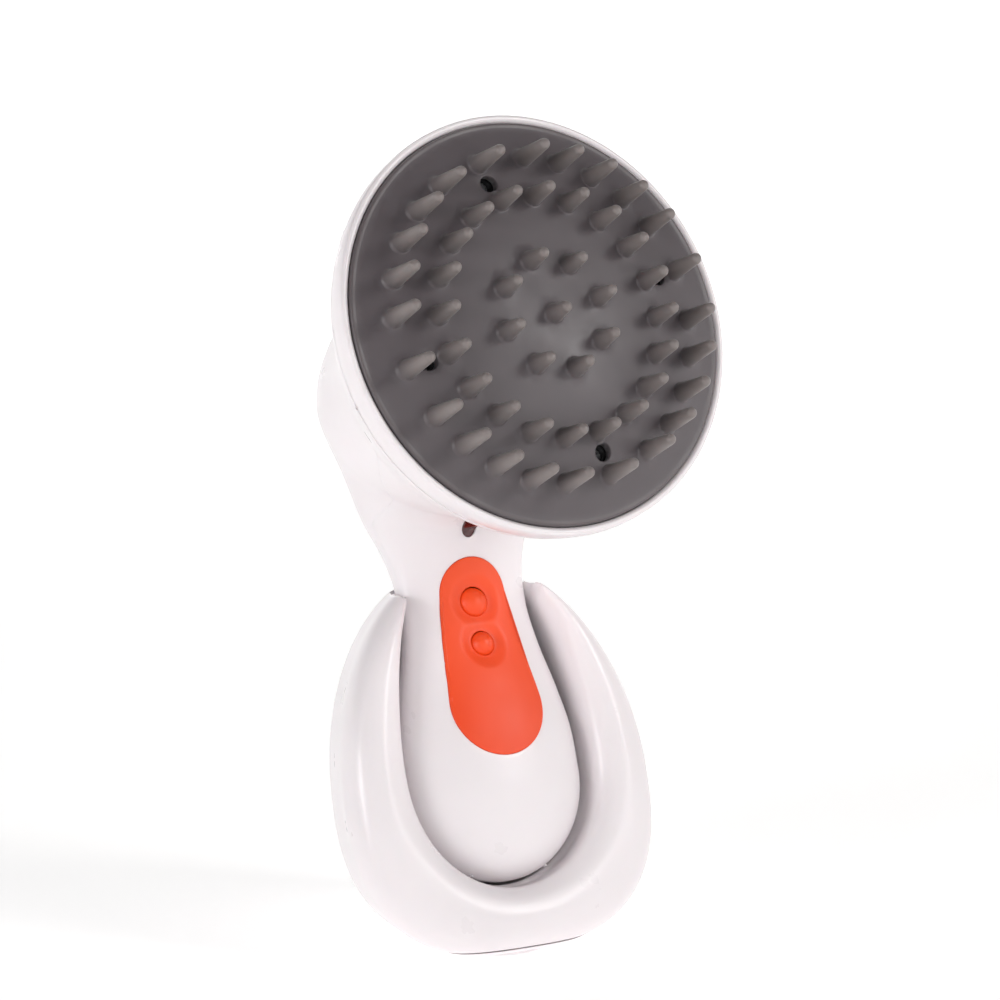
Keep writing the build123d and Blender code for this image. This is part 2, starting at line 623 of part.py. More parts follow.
def make_sole():
    """Rubber sole under the plate."""
    face = oval(Plane.XY, 0, 0, SOLE_W, SOLE_L, SOLE_L, power_low=2.6, power_high=2.6)
    return extrude(face, PLATE_LOW - 0.02, dir=(0, 0, 1)).solid()


def make_dock_screws():
    under = Plane(origin=(0, 0, 0), x_dir=(1, 0, 0), z_dir=(0, 0, -1))
    return [screw(under, x, -y, -1.7, 7.0, head_r=2.1, head_t=1.0) for x, y in DOCK_SCREWS]


def make_ballast():
    bar = block(Plane.XY, (-10, 10), (-14.5, 0.5), (PLATE_HIGH + FIT, 9.0))
    return chamfer(bar.edges().filter_by(Axis.Z), 2.0).solid()


def make_charging_board():
    return block(Plane.XY, (-4.5, 4.5), (11.0, 28.0), (PLATE_HIGH + FIT, 4.0)).solid()


def make_jack():
    """Charging socket: a body on the board and a nose that fills the hole in the rear shell."""
    body = block(Plane.XY, (-4, 4), (19.0, 30.0), (4.05, 12.2))
    along = across(Plane.XY, 0, 0, JACK_Z, (0, 1, 0))
    body = body + cylinder(along, 0, 0, 29, JACK_MOUTH, 3.3)
    return (body - cylinder(along, 0, 0, JACK_END, JACK_MOUTH + 1, JACK_R)).solid()


def make_pin_block():
    """Guide for the two charge pins behind the basin's floor."""
    guide = block(DOCK, (-8.6, 8.6), (PIN_Y - 4.5, PIN_Y + 4.5), (BLOCK_BACK, BLOCK_FRONT))
    for x in CONTACT_X:
        guide = guide - cylinder(DOCK, x, PIN_Y, BLOCK_BACK + 1, FLANGE_Z + FIT, 1.9)
        guide = guide - cylinder(DOCK, x, PIN_Y, FLANGE_Z, 0, PIN_R + 0.05)
    return guide.solid()


def make_pin(x):
    """Charge pin: round nose, flange and tail."""
    frame = DOCK * Pos(x, PIN_Y, 0)
    nose = arc((0, PIN_TIP), (0.71 * PIN_R, PIN_TIP - 0.29 * PIN_R), (PIN_R, PIN_TIP - PIN_R))
    side = rod([(PIN_R, PIN_TIP - PIN_R), (PIN_R, FLANGE_Z), (1.7, FLANGE_Z), (1.7, FLANGE_Z - 0.7),
                (0.6, FLANGE_Z - 0.7), (0.6, FLANGE_Z - 3.4), (0, FLANGE_Z - 3.4), (0, PIN_TIP)])
    return turned(frame, nose, side).solid()


def make_spring(x):
    """Coil behind a pin's flange."""
    low, high = BLOCK_BACK + 1.25, FLANGE_Z - 0.95
    turns = 5
    coil = Helix(pitch=(high - low) / turns, height=high - low, radius=1.2)
    section = Plane(origin=coil @ 0, z_dir=coil % 0) * Circle(0.17)
    return (DOCK * Pos(x, PIN_Y, low) * sweep(section, path=coil)).solid()


def save(name, solids):
    """Write one node; a group of alike pieces is one file."""
    shape = Compound(solids) if isinstance(solids, list) else solids
    shape.label = name
    export_step(shape, f"parts/{name}.step")
    print(f"{name}: {shape.volume:.0f} mm3, valid {shape.is_valid}")


def main():
    outer, thin, inner = massager_body(), massager_body(-0.8), massager_body(-WALL)
    room = stem_body(-WALL - 0.3)
    front, rear = make_shells(outer, inner, thin)
    save("front_housing", front)
    save("rear_housing", rear)
    save("housing_screws", make_housing_screws())
    save("charge_contacts", make_contacts())
    save("keypad_overlay", make_keypad(KEYPAD_PROUD, -KEYPAD_DEPTH))
    for name in KEY_H:
        save(name, make_button(name))
    save("control_board", make_board(room))
    save("tact_switches", make_switches())
    save("board_screws", make_board_screws())
    save("indicator_led", make_led())
    save("indicator_lens", make_lens())
    save("battery_cells", make_cells())
    save("battery_tray", make_tray(room))
    save("head_rim", make_rim())
    save("massage_pad", make_pad())
    save("pad_plate", make_pad_plate())
    save("pad_screws", make_pad_screws())
    save("rim_seal", make_seal())
    save("motor_chassis", make_chassis())
    save("chassis_screws", make_chassis_screws())
    save("motor_can", make_motor())
    save("motor_shaft", make_shaft())
    save("eccentric_weight", make_weight())
    dock = dock_body()
    dock_front, dock_rear = make_dock(dock)
    save("dock_front_shell", dock_front)
    save("dock_rear_shell", dock_rear)
    save("dock_base_plate", make_base_plate(dock))
    save("dock_sole", make_sole())
    save("dock_screws", make_dock_screws())
    save("ballast_bar", make_ballast())
    save("charging_board", make_charging_board())
    save("charging_socket", make_jack())
    save("pin_block", make_pin_block())
    for side, x in zip(("left", "right"), CONTACT_X):
        save(f"charge_pin_{side}", make_pin(x))
        save(f"pin_spring_{side}", make_spring(x))


if __name__ == "__main__":
    main()
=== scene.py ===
"""Looks of a scalp massager standing in its charging dock.

Lengths are millimetres in this script and are turned into metres when a mesh is made.
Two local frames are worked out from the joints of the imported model:
HEAD  z out of the massage pad, y up its face, origin at the centre of the pad's edge
STEM  z up the handle, y to its back, origin at the handle's lowest point
"""

import json
import math

import bmesh
import bpy
import numpy as np
from mathutils import Matrix, Vector
from mathutils.bvhtree import BVHTree
from mathutils.geometry import delaunay_2d_cdt


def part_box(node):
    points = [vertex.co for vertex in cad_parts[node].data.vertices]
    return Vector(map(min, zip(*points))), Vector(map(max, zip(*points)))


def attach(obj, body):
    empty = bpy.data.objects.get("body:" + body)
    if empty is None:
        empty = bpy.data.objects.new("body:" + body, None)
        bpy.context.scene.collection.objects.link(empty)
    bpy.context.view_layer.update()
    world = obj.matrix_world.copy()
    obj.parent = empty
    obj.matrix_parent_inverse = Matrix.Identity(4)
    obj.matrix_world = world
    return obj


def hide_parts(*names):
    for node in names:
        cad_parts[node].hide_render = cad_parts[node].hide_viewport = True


MM = 0.001

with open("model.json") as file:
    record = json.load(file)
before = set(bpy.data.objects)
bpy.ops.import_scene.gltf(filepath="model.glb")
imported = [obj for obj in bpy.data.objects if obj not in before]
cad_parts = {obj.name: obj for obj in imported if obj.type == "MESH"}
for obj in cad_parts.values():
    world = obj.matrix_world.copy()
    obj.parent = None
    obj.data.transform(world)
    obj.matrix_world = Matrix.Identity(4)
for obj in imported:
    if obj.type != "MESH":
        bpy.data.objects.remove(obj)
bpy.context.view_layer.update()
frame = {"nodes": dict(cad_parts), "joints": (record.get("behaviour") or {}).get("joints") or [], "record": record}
joints = {joint["name"]: joint for joint in frame["joints"]}


# ---- frames
class Frame:
    """Right-handed frame with its x axis across the object."""

    def __init__(self, origin, z):
        self.origin = np.array(origin, float)
        self.z = np.array(z, float) / np.linalg.norm(z)
        self.x = np.array((1.0, 0.0, 0.0))
        self.y = np.cross(self.z, self.x)
        self.axes = np.array((self.x, self.y, self.z))

    def out(self, points):
        """World coordinates of local points."""
        return np.asarray(points, float) @ self.axes + self.origin

    def into(self, points):
        """Local coordinates of world points."""
        return (np.asarray(points, float) - self.origin) @ self.axes.T


HEAD = Frame(np.array(joints["rotor_spin"]["pos_m"]) / MM, joints["rotor_spin"]["axis"])
lift = joints["lift_off"]["axis"]
FACE_TO_TIP = (0, 12.8, -127.0)
STEM = Frame(HEAD.origin + FACE_TO_TIP, (0, lift[2], -lift[1]))

# ---- sections of the massager
BULB_H, BULB_RISE = 23.5, 22.7   # height of the widest section, and of the round end below it
# height, half width, front depth, rear depth
STEM_ROWS = [
    (23.5, 22.2, 10.2, 13.0), (33.0, 21.9, 10.0, 13.0), (43.0, 19.9, 8.6, 12.4), (53.0, 17.3, 6.6, 11.6),
    (63.0, 15.8, 5.4, 11.0), (71.0, 16.3, 5.8, 11.5), (79.0, 18.6, 7.3, 13.2), (87.0, 22.2, 10.4, 15.6),
    (95.0, 24.6, 15.0, 16.8), (102.0, 25.0, 17.0, 15.0),
]
# depth behind the face, half width, half height below and above the centre, drop of the centre
HEAD_ROWS = [
    (0.0, 46.4, 46.4, 46.4, 0.0), (2.5, 47.0, 47.0, 47.0, 0.0), (7.0, 45.9, 45.9, 45.9, 0.2),
    (14.0, 42.4, 42.0, 42.2, 1.2), (24.0, 36.6, 35.4, 35.6, 3.0), (34.0, 33.8, 31.0, 31.2, 4.6),
    (44.0, 32.2, 26.6, 28.0, 5.6), (54.0, 28.4, 23.0, 25.4, 6.2), (62.0, 22.8, 18.8, 20.6, 6.8),
    (67.5, 14.4, 12.4, 13.0, 7.0), (71.5, 0.0, 0.0, 0.0, 7.0),
]
HEAD_BACK = 71.5
RIM_BACK = -6.3
SKIN = 2.0                     # thickness of the housings


def cubic(x, y, at):
    """Smooth curve through the rows y at the places x, read at other places."""
    x, y, at = np.asarray(x, float), np.asarray(y, float), np.asarray(at, float)
    slope = np.gradient(y, x, axis=0)
    k = np.clip(np.searchsorted(x, at) - 1, 0, len(x) - 2)
    h = (x[k + 1] - x[k])[:, None]
    t = ((at - x[k]) / h[:, 0])[:, None]
    return ((2 * t ** 3 - 3 * t ** 2 + 1) * y[k] + (t ** 3 - 2 * t ** 2 + t) * h * slope[k]
            + (3 * t ** 2 - 2 * t ** 3) * y[k + 1] + (t ** 3 - t ** 2) * h * slope[k + 1])


def stem_sizes(height):
    """Half width, front depth and rear depth of the handle at each height."""
    height = np.atleast_1d(np.asarray(height, float))
    rows = np.array(STEM_ROWS)
    sizes = np.sqrt(np.maximum(cubic(rows[:, 0], rows[:, 1:] ** 2, np.maximum(height, BULB_H)), 0))
    drop = np.clip((BULB_H - height) / BULB_RISE, 0, 1)
    return sizes * np.sqrt(1 - drop ** 2)[:, None]


def front_depth(x, height):
    """Depth of the handle's front surface before its middle plane."""
    sizes = stem_sizes(height)
    return sizes[:, 1] * np.sqrt(np.maximum(1 - (np.asarray(x) / sizes[:, 0]) ** 2, 0))


# ---- meshes
def make_object(name, points, faces):
    """Object from points in millimetres and faces, with its normals pointing outwards."""
    mesh = bpy.data.meshes.new(name)
    mesh.from_pydata([tuple(p) for p in np.asarray(points) * MM], [], [tuple(f) for f in faces])
    work = bmesh.new()
    work.from_mesh(mesh)
    bmesh.ops.recalc_face_normals(work, faces=work.faces)
    work.to_mesh(mesh)
    work.free()
    mesh.polygons.foreach_set("use_smooth", [True] * len(mesh.polygons))
    piece = bpy.data.objects.new(name, mesh)
    bpy.context.scene.collection.objects.link(piece)
    return piece


def grid_faces(rings, count):
    """Quads between rings of equal counts that follow each other in the list of points."""
    faces = []
    for ring in range(rings - 1):
        a, b = ring * count, (ring + 1) * count
        for k in range(count):
            n = (k + 1) % count
            faces.append((a + k, a + n, b + n, b + k))
    return faces


def capped_tube(rings):
    """Points and faces of a tube of rings, with a point at each end."""
    count = len(rings[0])
    points = [point for ring in rings for point in ring]
    faces = grid_faces(len(rings), count)
    last = (len(rings) - 1) * count
    for centre, start in ((rings[0].mean(0), 0), (rings[-1].mean(0), last)):
        points.append(centre)
        faces += [(start + k, start + (k + 1) % count, len(points) - 1) for k in range(count)]
    return points, faces


def turned(place, profile, count=128):
    """Points and faces of a profile of (radius, z), closed or ending on the axis, turned about z."""
    angles = np.linspace(0, 2 * math.pi, count, endpoint=False)
    circle = np.stack((np.cos(angles), np.sin(angles)), 1)
    closed = profile[0][0] > 0 and profile[-1][0] > 0
    points, rows = [], []
    for radius, z in profile:
        if radius == 0:
            rows.append([len(points)] * count)
            points.append(place.out((0, 0, z)))
        else:
            rows.append(list(range(len(points), len(points) + count)))
            ring = np.column_stack((circle * radius, np.full(count, z)))
            points += list(place.out(ring))
    faces = []
    pairs = list(zip(rows, rows[1:])) + ([(rows[-1], rows[0])] if closed else [])
    for low, high in pairs:
        for k in range(count):
            n = (k + 1) % count
            corners = (low[k], low[n], high[n], high[k])
            faces.append(tuple(dict.fromkeys(corners)))
    return points, faces


def bend(centre, radius, start, end, steps=6):
    """Points of an arc in a profile, angles in degrees."""
    angles = np.radians(np.linspace(start, end, steps))
    return [(centre[0] + radius * math.cos(a), centre[1] + radius * math.sin(a)) for a in angles]


def read_mesh(mesh):
    """Points in millimetres and a list of faces."""
    points = np.zeros(len(mesh.vertices) * 3)
    mesh.vertices.foreach_get("co", points)
    return points.reshape(-1, 3) / MM, [tuple(face.vertices) for face in mesh.polygons]


def remeshed(mesh, voxel):
    """Mesh of even quads round the outside of a mesh's closed bodies."""
    work = bpy.data.objects.new("work", mesh)
    bpy.context.scene.collection.objects.link(work)
    modifier = work.modifiers.new("even", "REMESH")
    modifier.mode = "VOXEL"
    modifier.voxel_size = voxel * MM
    bpy.context.view_layer.update()
    result = bpy.data.meshes.new_from_object(work.evaluated_get(bpy.context.evaluated_depsgraph_get()))
    bpy.data.objects.remove(work)
    return result


def edge_array(faces):
    """Each edge once, as a pair of points."""
    pairs = [(face[k], face[(k + 1) % len(face)]) for face in faces for k in range(len(face))]
    return np.unique(np.sort(np.array(pairs), axis=1), axis=0)


def relaxed(points, faces, weights, rounds):
    """Each point drifts towards the mean of its neighbours, by its weight, several times."""
    edges = edge_array(faces)
    a = np.concatenate((edges[:, 0], edges[:, 1]))
    b = np.concatenate((edges[:, 1], edges[:, 0]))
    share = np.maximum(np.bincount(a, minlength=len(points)), 1)[:, None]
    points = points.copy()
    for _ in range(rounds):
        mean = np.stack([np.bincount(a, points[b, axis], len(points)) for axis in range(3)], 1) / share
        points += (mean - points) * weights[:, None] * 0.5
    return points


def even_out(points, faces, rounds):
    """Takes out small ripples without shrinking the shape."""
    ones = np.ones(len(points))
    for _ in range(rounds):
        points = relaxed(points, faces, ones, 1)
        points = relaxed(points, faces, -1.04 * ones, 1)
    return points


def normals_of(points, faces):
    """Unit normals at the points."""
    total = np.zeros_like(points)
    size = max(len(face) for face in faces)
    ring = np.array([face + (face[-1],) * (size - len(face)) for face in faces])
    corner = points[ring]
    normal = np.cross(corner[:, 2] - corner[:, 0], corner[:, size - 1] - corner[:, 1])
    for k in range(size):
        for axis in range(3):
            total[:, axis] += np.bincount(ring[:, k], normal[:, axis], len(points))
    return total / np.maximum(np.linalg.norm(total, axis=1), 1e-9)[:, None]


# ---- the skin of the massager
SECTION, HANDLE_TOP = 1.5, 102.1       # step between sections, and where they end in the head
HEAD_EVEN = 50                         # depth from which the head's sections close up
SKIN_VOXEL = 0.8
THROAT_BLEND, NECK_BLEND = 2.6, 10.0   # how far the joint is smoothed, in front and behind
BLEND_ROUNDS, EVEN_ROUNDS = 260, 12


def handle_rings(count=120):
    """Sections of the handle from its round end up into the head."""
    angles = np.linspace(0, 2 * math.pi, count, endpoint=False)
    c, s = np.cos(angles), np.sin(angles)
    drops = BULB_H - BULB_RISE * np.cos(np.radians(np.linspace(4, 90, 24)))
    heights = np.concatenate((drops, np.arange(BULB_H + SECTION, HANDLE_TOP, SECTION)))
    rings = []
    for height, (width, front, rear) in zip(heights, stem_sizes(heights)):
        depth = np.where(s >= 0, rear, front)
        rings.append(STEM.out(np.column_stack((width * c, depth * s, np.full(count, height)))))
    return rings


def head_rings(count=160):
    """Sections of the head from its face to its back."""
    angles = np.linspace(0, 2 * math.pi, count, endpoint=False)
    c, s = np.cos(angles), np.sin(angles)
    rows = np.array(HEAD_ROWS)
    rest = (HEAD_BACK - 0.05 - HEAD_EVEN) * np.sin(np.radians(np.linspace(0, 88, 24)))
    depths = np.sort(np.concatenate((np.arange(0, HEAD_EVEN, SECTION), HEAD_EVEN + rest)))
    values = cubic(rows[:, 0], np.column_stack((rows[:, 1:4] ** 2, rows[:, 4])), depths)
    rings = []
    for depth, (width, down, up, drop) in zip(depths, values):
        width, down, up = np.sqrt(np.maximum((width, down, up), 0.01))
        y = np.where(s >= 0, up, down) * s - drop
        rings.append(HEAD.out(np.column_stack((width * c, y, np.full(count, -depth)))))
    return rings


def massager_skin():
    """Handle and head flowing into each other, as points and faces."""
    bodies = [make_object(name, *capped_tube(rings)) for name, rings in
              (("handle", handle_rings()), ("head", head_rings()))]
    trees = [BVHTree.FromObject(body, bpy.context.evaluated_depsgraph_get()) for body in bodies]
    both = bmesh.new()
    for body in bodies:
        both.from_mesh(body.data)
        bpy.data.objects.remove(body)
    joined = bpy.data.meshes.new("joined")
    both.to_mesh(joined)
    both.free()
    points, faces = read_mesh(remeshed(joined, SKIN_VOXEL))
    near = np.array([max(tree.find_nearest(Vector(p * MM))[3] for tree in trees) for p in points]) / MM
    behind = np.clip((STEM.into(points)[:, 1] + 9) / 9, 0, 1)
    weights = np.clip(1 - near / (THROAT_BLEND + (NECK_BLEND - THROAT_BLEND) * behind), 0, 1)
    weights = weights * weights * (3 - 2 * weights)
    points = relaxed(points, faces, weights, BLEND_ROUNDS)
    return even_out(points, faces, EVEN_ROUNDS), faces


# ---- cutting a skin and giving it thickness
PART_GAP, PART_LIP = 0.03, 0.08
REACH = 17.0                   # how far from the handle's middle a hole is cut
NEAR_CUT, FAR_CUT = 1.2, 3.0   # points this near belong to a cut's edge; beyond this they stay
CUT_ROUNDS = 6
FAR_OFF = 99.0                 # distance given to the handle's other side
THROAT_H, CHIN_Y = 84.0, -15.0
PARTING = [STEM.out((0, 0, -30)), STEM.out((0, 0, THROAT_H)), HEAD.out((0, CHIN_Y, RIM_BACK)),
           HEAD.out((0, CHIN_Y, 90))]


def parting_distance(points):
    """Distance in front of the parting surface, and its direction."""
    best = np.full(len(points), 1e9)
    way = np.zeros_like(points)
    flat = points[:, 1:]
    for start, end in zip(PARTING, PARTING[1:]):
        start, along = start[1:], (end - start)[1:]
        share = np.clip((flat - start) @ along / (along @ along), 0, 1)
        apart = flat - start - share[:, None] * along
        size = np.linalg.norm(apart, axis=1)
        normal = np.array((-along[1], along[0])) / np.linalg.norm(along)
        side = np.sign(apart @ normal)
        nearer = size < np.abs(best)
        best = np.where(nearer, side * size, best)
        way[nearer, 1:] = (side[:, None] * apart / np.maximum(size, 1e-9)[:, None])[nearer]
    return best, way


def capsule(x, h):
    """Signed distance from the keypad's outline: two circles and their common tangents."""
    r1, r2, height = KEYPAD_LOW[1], KEYPAD_TOP[1], KEYPAD_TOP[0] - KEYPAD_LOW[0]
    x, y = np.abs(x), np.asarray(h) - KEYPAD_LOW[0]
    b = (r1 - r2) / height
    a = math.sqrt(1 - b * b)
    k = -b * x + a * y
    low = np.hypot(x, y) - r1
    top = np.hypot(x, y - height) - r2
    side = x * a + y * b - r1
    return np.where(k < 0, low, np.where(k > a * height, top, side))


def flat_cut(shape, facing, margin=0.0):
    """Distance function of a hole drawn on the front (-1) or the back (+1) of the handle."""
    def distance(points):
        local = STEM.into(points)
        x, h = local[:, 0], local[:, 2]
        step = 0.01
        d = shape(x, h) - margin
        gx = (shape(x + step, h) - shape(x - step, h)) / (2 * step)
        gh = (shape(x, h + step) - shape(x, h - step)) / (2 * step)
        near = (local[:, 1] * facing > 0) & (np.abs(local[:, 1]) < REACH)
        d = np.where(near, d, FAR_OFF)
        return d, gx[:, None] * STEM.x + gh[:, None] * STEM.z
    return distance


def boundary(faces):
    """Directed edges that only one face uses."""
    used = {(face[k], face[(k + 1) % len(face)]) for face in faces for k in range(len(face))}
    return [(a, b) for a, b in used if (b, a) not in used]


def without_pinches(faces):
    """The faces without those at a point where the boundary meets itself."""
    for _ in range(8):
        starts = [a for a, b in boundary(faces)]
        seen, twice = set(), set()
        for a in starts:
            (twice if a in seen else seen).add(a)
        if not twice:
            break
        faces = [face for face in faces if not twice.intersection(face)]
    return faces


def cut(points, faces, distance):
    """Keep the side where the distance is positive, with its edge laid exactly on the cut."""
    centre = np.array([points[list(face)].mean(0) for face in faces])
    keep = distance(centre)[0] > 0
    kept = [face for face, wanted in zip(faces, keep) if wanted]
    gone = {v for face, wanted in zip(faces, keep) if not wanted for v in face}
    kept = without_pinches(kept)
    edges = boundary(kept)
    follow = dict(edges)
    before = {b: a for a, b in edges}
    level = distance(points)[0]
    edge = [v for v in follow if v in before and (v in gone or abs(level[v]) < NEAR_CUT)]
    loop = np.array(edge, int)
    points = points.copy()
    ahead = np.array([follow[v] for v in loop])
    behind = np.array([before[v] for v in loop])
    for _ in range(CUT_ROUNDS):
        d, way = distance(points[loop])
        ok = np.abs(d) < FAR_CUT
        points[loop[ok]] -= (d[:, None] * way)[ok]
        points[loop] = 0.5 * points[loop] + 0.25 * (points[ahead] + points[behind])
    d, way = distance(points[loop])
    ok = np.abs(d) < FAR_CUT
    points[loop[ok]] -= (d[:, None] * way)[ok]
    return compact(points, kept)


def compact(points, faces):
    """Drop points that no face uses."""
    used = sorted({v for face in faces for v in face})
    place = {v: k for k, v in enumerate(used)}
    return points[used], [tuple(place[v] for v in face) for face in faces]


def shell(points, faces, thickness, lip):
    """Closed wall of even thickness inside a skin, with its edges rounded by a lip."""
    normal = normals_of(points, faces)
    edges = boundary(faces)
    follow, before = dict(edges), {b: a for a, b in edges}
    rim = sorted(v for v in follow if v in before)
    count = len(points)
    inner = points - normal * thickness
    along = np.array([points[follow[v]] - points[before[v]] for v in rim])
    outward = np.cross(along, normal[rim])
    outward /= np.maximum(np.linalg.norm(outward, axis=1), 1e-9)[:, None]
    first = points[rim] + outward * lip * 0.7 - normal[rim] * lip * 0.3
    second = points[rim] + outward * lip - normal[rim] * lip
    inner[rim] += outward * lip
    place = {v: k for k, v in enumerate(rim)}
    n1, n2 = 2 * count, 2 * count + len(rim)
    walls = [tuple(reversed([v + count for v in face])) for face in faces]
    for a, b in edges:
        if a in place and b in place:
            pa, pb = place[a], place[b]
            walls += [(b, a, n1 + pa, n1 + pb), (n1 + pb, n1 + pa, n2 + pa, n2 + pb),
                      (n2 + pb, n2 + pa, a + count, b + count)]
    return np.vstack((points, inner, first, second)), list(faces) + walls


def merged(*parts):
    """Several lists of points and faces as one."""
    points, faces = [], []
    for some, more in parts:
        start = len(points)
        points += [tuple(p) for p in some]
        faces += [tuple(v + start for v in face) for face in more]
    return points, faces


# ---- keypad, buttons and lens
KEYPAD_LOW, KEYPAD_TOP = (39.9, 11.6), (65.4, 8.3)
KEYPAD_PROUD, KEYPAD_BACK = 0.3, -0.95
KEYPAD_EDGE = 0.32             # width of the rounded edge
KEYPAD_BAND = 1.2              # rows of even triangles along the edge and round the holes
KEYPAD_HOLE_GAP = 0.12
KEY_H = {"power_button": 63.7, "mode_button": 54.0}
KEY_R = {"power_button": 3.25, "mode_button": 2.7}
KEY_FRONT = {"power_button": 5.4, "mode_button": 6.45}
KEY_LEAN = 7.5
KEY_RISE, KEY_SHOULDER = 1.3, -0.55
FLANGE, FLANGE_TOP, FLANGE_BACK = 0.85, -2.65, -3.35
DISH_R = {"power_button": 3.4, "mode_button": 2.9}
DISH_SLOPE, DISH_DEPTH, DISH_JOIN = 3.2, 0.85, 1.6
GROOVE = 0.1
LENS_H, LENS_WIDE, LENS_TALL = 80.3, 1.9, 2.4
LENS_SUNK = 0.12
LENS_RINGS = ((0.06, 0.02), (0.4, 0.0), (0.8, -0.08), (0.95, -0.16), (1.0, -0.3), (1.0, -2.4))


def capsule_loop(inset, count):
    """Points along the keypad's outline, moved inwards."""
    (h1, r1), (h2, r2) = KEYPAD_LOW, KEYPAD_TOP
    tilt = math.asin((r1 - r2) / (h2 - h1))
    r1, r2 = r1 - inset, r2 - inset
    low = np.linspace(math.pi - tilt, 2 * math.pi + tilt, count)
    top = np.linspace(tilt, math.pi - tilt, int(count * 0.6))
    circle = [(r1 * math.cos(a), h1 + r1 * math.sin(a)) for a in low]
    circle += [(r2 * math.cos(a), h2 + r2 * math.sin(a)) for a in top]
    circle = np.array(circle + circle[:1])
    step = np.r_[0, np.cumsum(np.linalg.norm(np.diff(circle, axis=0), axis=1))]
    at = np.linspace(0, step[-1], count, endpoint=False)
    return np.stack((np.interp(at, step, circle[:, 0]), np.interp(at, step, circle[:, 1])), 1)


def circle_loop(x, y, radius, count):
    """Points of a circle."""
    angles = np.linspace(0, 2 * math.pi, count, endpoint=False)
    return np.stack((x + radius * np.cos(angles), y + radius * np.sin(angles)), 1)


def filled(loops, spacing, apart):
    """Points and triangles over the convex region of the first loop, with edges along all loops."""
    low, high = loops[0].min(0), loops[0].max(0)
    extra = []
    for row, y in enumerate(np.arange(low[1], high[1], spacing * 0.866)):
        for x in np.arange(low[0] + (row % 2) * spacing / 2, high[0], spacing):
            extra.append((x, y))
    extra = np.array([q for q in extra if apart(np.array(q)) > 0.55 * spacing])
    edges, start = [], 0
    for loop in loops:
        count = len(loop)
        edges += [(start + k, start + (k + 1) % count) for k in range(count)]
        start += count
    flat = [Vector((float(x), float(y))) for x, y in np.vstack([*loops, extra])]
    out, _, faces, *_ = delaunay_2d_cdt(flat, edges, [], 0, 1e-7)
    return np.array([tuple(v) for v in out]), [tuple(face) for face in faces]


def dish(x, h):
    """Depth of the hollow round the two buttons."""
    apart = [np.hypot(x, h - KEY_H[name]) - DISH_R[name] for name in KEY_H]
    both = -np.log(np.exp(-DISH_JOIN * apart[0]) + np.exp(-DISH_JOIN * apart[1])) / DISH_JOIN
    share = np.clip(1 - both / DISH_SLOPE, 0, 1)
    return DISH_DEPTH * share * share * (3 - 2 * share)


def on_handle(points, rise):
    """World points over the front of the handle from (x, height) and their rise over its surface."""
    x, h = points[:, 0], points[:, 1]
    return STEM.out(np.column_stack((x, -front_depth(x, h) - rise, h)))


def capsule_away(q):
    """Direction out of the keypad's outline at a point."""
    step = 0.01
    gx = float(capsule(q[0] + step, q[1]) - capsule(q[0] - step, q[1]))
    gh = float(capsule(q[0], q[1] + step) - capsule(q[0], q[1] - step))
    size = math.hypot(gx, gh)
    return gx / size, gh / size


def keypad():
    """Soft overlay with a rounded edge, a hollow round the buttons and holes for them."""
    holes = {name: KEY_R[name] + GROOVE for name in KEY_H}
    loops = [capsule_loop(KEYPAD_EDGE + extra, 260) for extra in (0, 0.4, 0.8, KEYPAD_BAND)]
    loops += [circle_loop(0, KEY_H[name], holes[name] + extra, 64)
              for name in holes for extra in (0, 0.3, 0.6, 0.9, KEYPAD_BAND)]

    def apart(q):
        gaps = [-capsule(q[0], q[1]) - KEYPAD_EDGE]
        gaps += [math.hypot(q[0], q[1] - KEY_H[name]) - holes[name] for name in holes]
        return min(gaps) - KEYPAD_BAND

    flat, faces = filled(loops, 0.5, apart)
    middle = np.array([flat[list(face)].mean(0) for face in faces])
    solid = np.ones(len(faces), bool)
    for name in holes:
        solid &= np.hypot(middle[:, 0], middle[:, 1] - KEY_H[name]) > holes[name]
    faces = [face for face, wanted in zip(faces, solid) if wanted]
    top = on_handle(flat, KEYPAD_PROUD - dish(flat[:, 0], flat[:, 1]))
    count = len(flat)
    points = [tuple(p) for p in np.vstack((top, on_handle(flat, np.full(count, KEYPAD_BACK))))]
    sides = [tuple(reversed([v + count for v in face])) for face in faces]
    edges = boundary(faces)
    outer = [v for v, _ in edges if abs(capsule(*flat[v]) + KEYPAD_EDGE) < 0.05]
    outward = {v: np.array(capsule_away(flat[v])) * KEYPAD_EDGE for v in outer}
    rings = []
    for share, rise in ((0.7, KEYPAD_PROUD - 0.03), (0.9, KEYPAD_PROUD - 0.12),
                        (1.0, KEYPAD_PROUD - 0.32), (1.0, KEYPAD_BACK)):
        rings.append({v: len(points) + place for place, v in enumerate(outer)})
        spots = np.array([flat[v] + outward[v] * share for v in outer])
        points += [tuple(p) for p in on_handle(spots, np.full(len(spots), rise))]
    for a, b in edges:
        between = [(ring[a], ring[b]) for ring in rings] if a in outward else []
        chain = [(a, b), *between, (a + count, b + count)]
        for (a1, b1), (a2, b2) in zip(chain, chain[1:]):
            sides.append((b1, a1, a2, b2))
    return points, faces + sides


def key_place(name):
    """Frame of a button: z out of the handle, origin on its front surface."""
    tilt = math.radians(KEY_LEAN)
    out = -STEM.y * math.cos(tilt) + STEM.z * math.sin(tilt)
    return Frame(STEM.out((0, -KEY_FRONT[name], KEY_H[name])), out)


def button(name):
    """Domed key with a soft shoulder."""
    r = KEY_R[name]
    profile = [(0, KEY_RISE)]
    profile += [(r * share, KEY_RISE - 1.75 * share ** 2.3) for share in np.linspace(0.08, 0.97, 14)]
    profile += [(r, KEY_SHOULDER), (r, FLANGE_TOP + 0.05), (r + FLANGE, FLANGE_TOP),
                (r + FLANGE, FLANGE_BACK), (0, FLANGE_BACK)]
    return turned(key_place(name), profile, 72)


